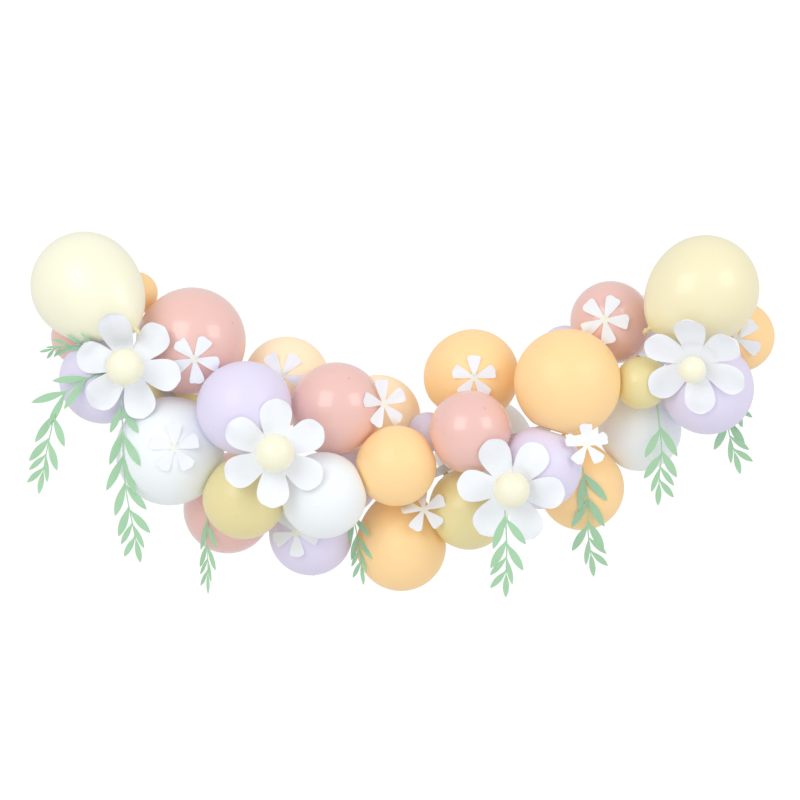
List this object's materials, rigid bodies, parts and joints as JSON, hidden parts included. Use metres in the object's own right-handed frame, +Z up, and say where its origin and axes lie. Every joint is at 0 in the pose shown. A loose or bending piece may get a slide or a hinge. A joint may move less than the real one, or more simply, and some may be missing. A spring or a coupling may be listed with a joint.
{
  "type": "balloon garland",
  "caption": "Swagged garland of pastel latex balloons on a plastic strip, with card daisies, small card blossoms and paper leaf sprigs; hangs by its two end tabs.",
  "frame": {"origin": "on the back face of the strip's left hanging tab, on its middle line just below the hanging hole", "axes": "+X along the garland to the right tab, +Y from the front of the garland to its back, +Z up"},
  "size_m": [1.928, 0.6621, 0.9308],
  "materials": {
    "ivory_latex": "satin",
    "khaki_latex": "satin",
    "rose_latex": "gloss",
    "peach_latex": "satin",
    "orange_latex": "satin",
    "lavender_latex": "satin",
    "white_latex": "satin",
    "flower_card": "matte",
    "leaf_paper": "matte",
    "clear_plastic": "satin"
  },
  "bodies": {
    "root": {"balloon_heart_left": "ivory_latex", "balloon_heart_lower": "ivory_latex", "balloon_heart_middle": "ivory_latex", "balloon_heart_right": "ivory_latex", "balloon_ivory_end_left": "ivory_latex", "balloon_ivory_end_right": "ivory_latex", "balloon_khaki_behind": "khaki_latex", "balloon_khaki_lower": "khaki_latex", "balloon_khaki_right": "khaki_latex", "balloon_khaki_small": "khaki_latex", "balloon_lavender_behind": "lavender_latex", "balloon_lavender_end_right": "lavender_latex", "balloon_lavender_gap": "lavender_latex", "balloon_lavender_left": "lavender_latex", "balloon_lavender_lower": "lavender_latex", "balloon_lavender_mini": "lavender_latex", "balloon_lavender_right": "lavender_latex", "balloon_lavender_upper": "lavender_latex", "balloon_orange_lower_right": "orange_latex", "balloon_orange_lowest": "orange_latex", "balloon_orange_middle": "orange_latex", "balloon_orange_mini_left": "orange_latex", "balloon_orange_right": "orange_latex", "balloon_orange_tall": "orange_latex", "balloon_peach_back_left": "peach_latex", "balloon_peach_back_middle": "peach_latex", "balloon_peach_large": "orange_latex", "balloon_rose_behind_left": "rose_latex", "balloon_rose_centre": "rose_latex", "balloon_rose_large_left": "rose_latex", "balloon_rose_lower": "rose_latex", "balloon_rose_middle": "rose_latex", "balloon_rose_right": "rose_latex", "balloon_white_behind": "white_latex", "balloon_white_end_right": "white_latex", "balloon_white_large_left": "white_latex", "balloon_white_lower": "white_latex", "balloon_white_right": "white_latex", "blossom_khaki_right": "flower_card", "blossom_lavender_lower": "flower_card", "blossom_lower_right": "flower_card", "blossom_middle": "flower_card", "blossom_orange_right": "flower_card", "blossom_orange_tall": "flower_card", "blossom_peach_back": "flower_card", "blossom_rose_left": "flower_card", "blossom_rose_right": "flower_card", "blossom_white_left": "flower_card", "daisy_left": "flower_card", "daisy_lower": "flower_card", "daisy_middle": "flower_card", "daisy_right": "flower_card", "hanging_strip": "clear_plastic", "leaf_sprig_daisy": "leaf_paper", "leaf_sprig_end_right": "leaf_paper", "leaf_sprig_left": "leaf_paper", "leaf_sprig_right": "leaf_paper", "leaf_sprig_rose_lower": "leaf_paper", "leaf_sprig_white_lower": "leaf_paper", "leaf_sprig_white_right": "leaf_paper"}
  },
  "joints": []
}
